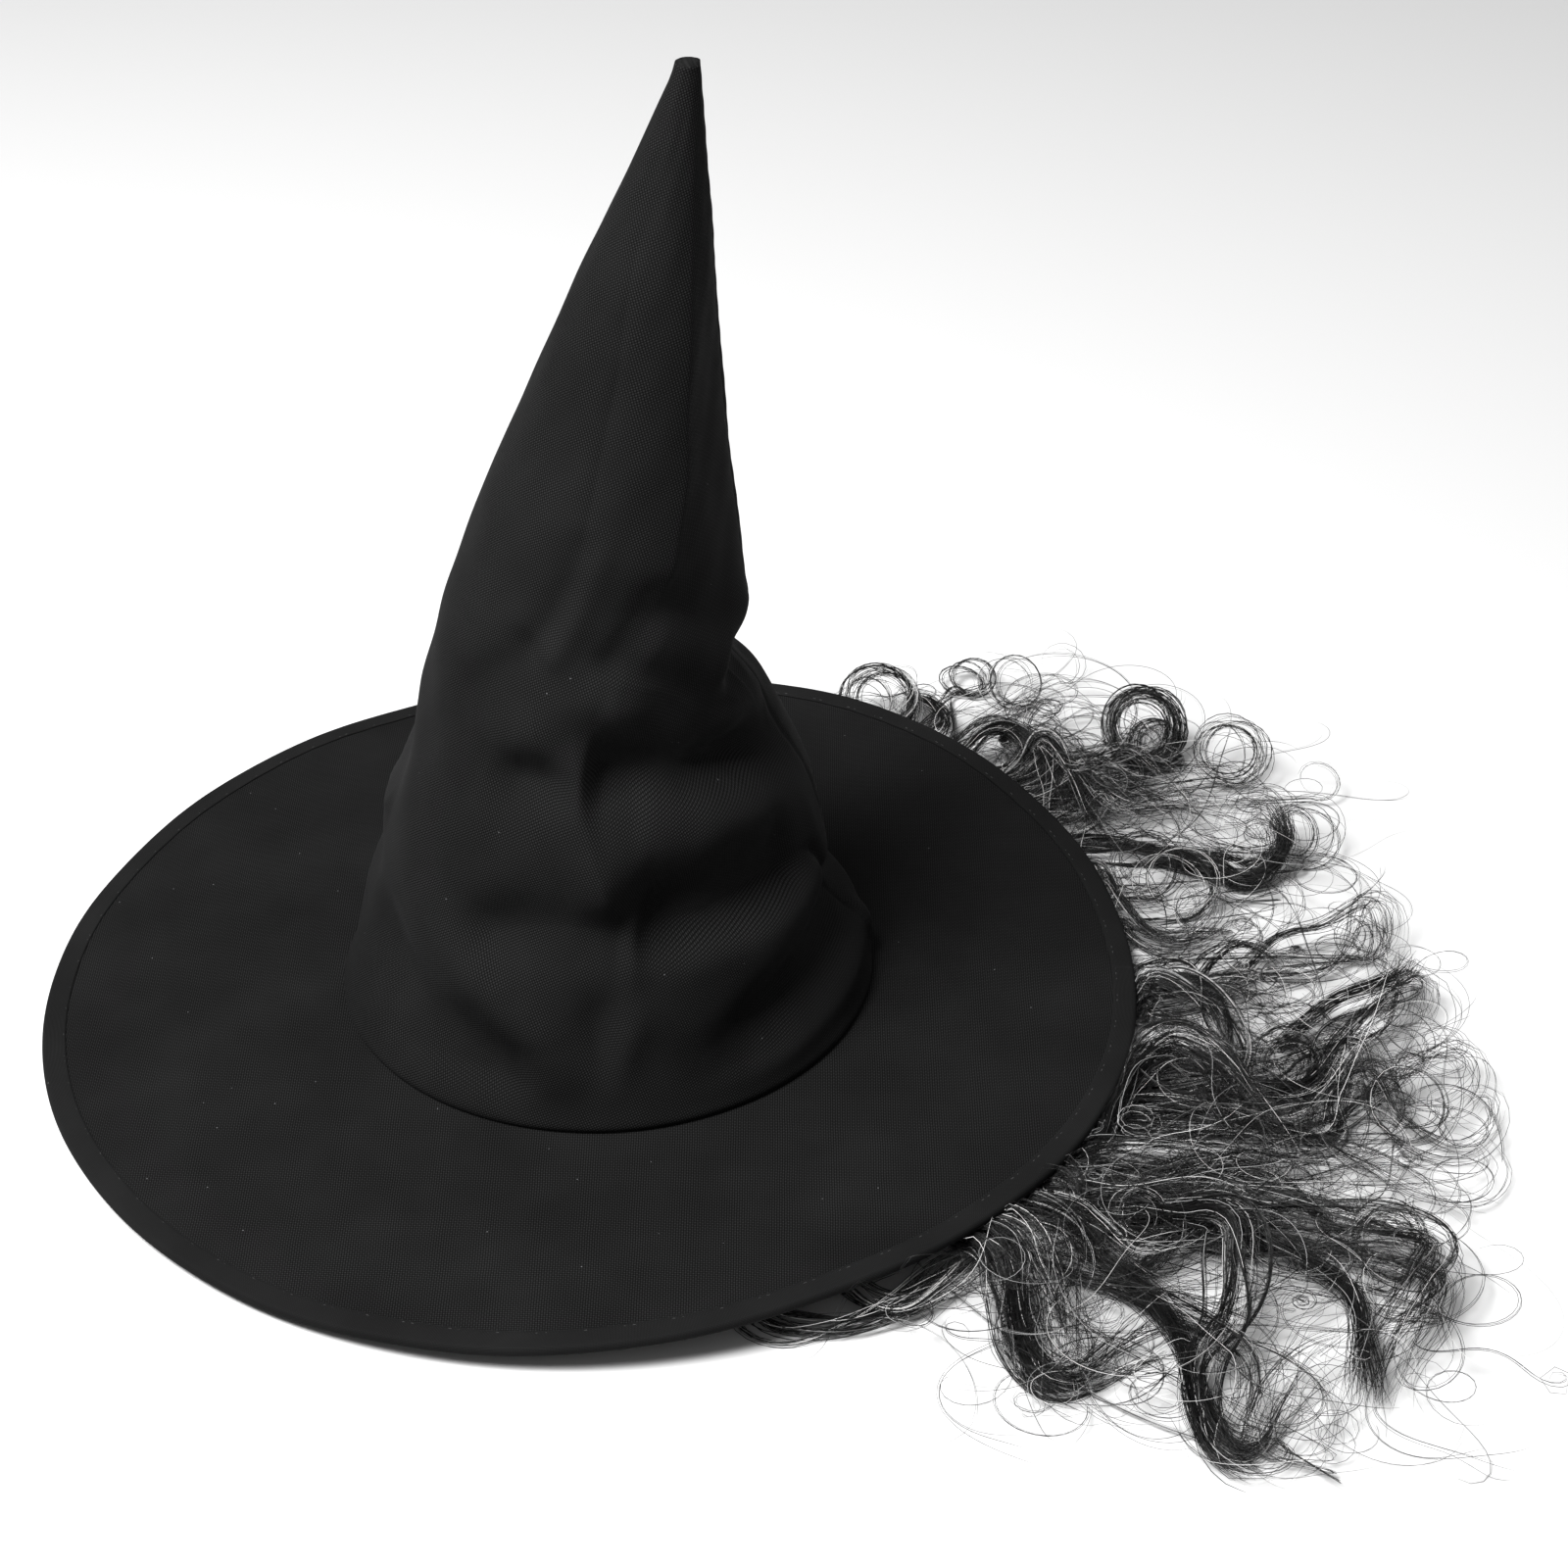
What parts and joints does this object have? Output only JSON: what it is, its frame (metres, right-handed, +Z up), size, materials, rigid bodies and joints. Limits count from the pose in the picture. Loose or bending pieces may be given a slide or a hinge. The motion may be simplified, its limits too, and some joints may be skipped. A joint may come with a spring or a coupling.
{
  "type": "witch hat",
  "caption": "Pointed black cloth witch hat with a wide wired brim, a floppy leaning tip and loose curly black and grey hair sewn under the back of the brim.",
  "frame": {"origin": "centre of the head opening, at the height where the crown meets the brim", "axes": "+Z up along the head opening's axis; the front of the hat is -Y; the back seam and the hair are +Y; +X is the wearer's left"},
  "size_m": [0.4617, 0.502, 0.3407],
  "materials": {
    "crown_cloth": "matte",
    "brim_cloth": "matte",
    "interlining": "matte",
    "binding": "matte",
    "thread": "matte",
    "wire": "satin",
    "sweatband": "matte",
    "tape": "matte",
    "hair_black": "satin",
    "hair_grey": "satin"
  },
  "bodies": {
    "hat": {"back_seam_lower": "crown_cloth", "base_seam_thread": "thread", "binding_topstitch": "thread", "brim_edge_binding": "binding", "brim_edge_wire": "wire", "brim_stiffener": "interlining", "brim_top_panel": "brim_cloth", "brim_under_panel": "brim_cloth", "crown_fold_zone": "crown_cloth", "crown_lower_panel": "crown_cloth", "hair_tape_back": "tape", "hair_tape_left": "tape", "hair_tape_right": "tape", "hair_tape_threads": "thread", "sweatband": "sweatband", "sweatband_seam_thread": "thread"},
    "crown_tip": {"crown_upper_panel": "crown_cloth", "back_seam_upper": "crown_cloth", "crown_tip_fold": "crown_cloth"},
    "hair_left": {"hair_left_lock_1": "hair_black", "hair_left_lock_2": "hair_grey", "hair_left_lock_3": "hair_black", "hair_left_lock_4": "hair_grey", "hair_left_lock_5": "hair_black"},
    "hair_right": {"hair_right_lock_1": "hair_black", "hair_right_lock_2": "hair_grey", "hair_right_lock_3": "hair_black", "hair_right_lock_4": "hair_grey", "hair_right_lock_5": "hair_black"},
    "hair_back": {"hair_back_lock_1": "hair_black", "hair_back_lock_2": "hair_grey", "hair_back_lock_3": "hair_black", "hair_back_lock_4": "hair_grey"}
  },
  "joints": [
    {"name": "tip_flop", "type": "hinge", "parent": "hat", "child": "crown_tip", "pos_m": [0, -0.0545, 0.134], "axis": [-1, 0, 0], "range_deg": [-10, 30], "deforming": ["crown_fold_zone"]},
    {"name": "hair_left_hang", "type": "hinge", "parent": "hat", "child": "hair_left", "pos_m": [0, 0.046, -0.0115], "axis": [-1, 0, 0], "range_deg": [0, 85]},
    {"name": "hair_right_hang", "type": "hinge", "parent": "hat", "child": "hair_right", "pos_m": [0, 0.046, -0.0115], "axis": [-1, 0, 0], "range_deg": [0, 85]},
    {"name": "hair_back_hang", "type": "hinge", "parent": "hat", "child": "hair_back", "pos_m": [0, 0.0936, -0.0115], "axis": [-1, 0, 0], "range_deg": [0, 85]}
  ]
}
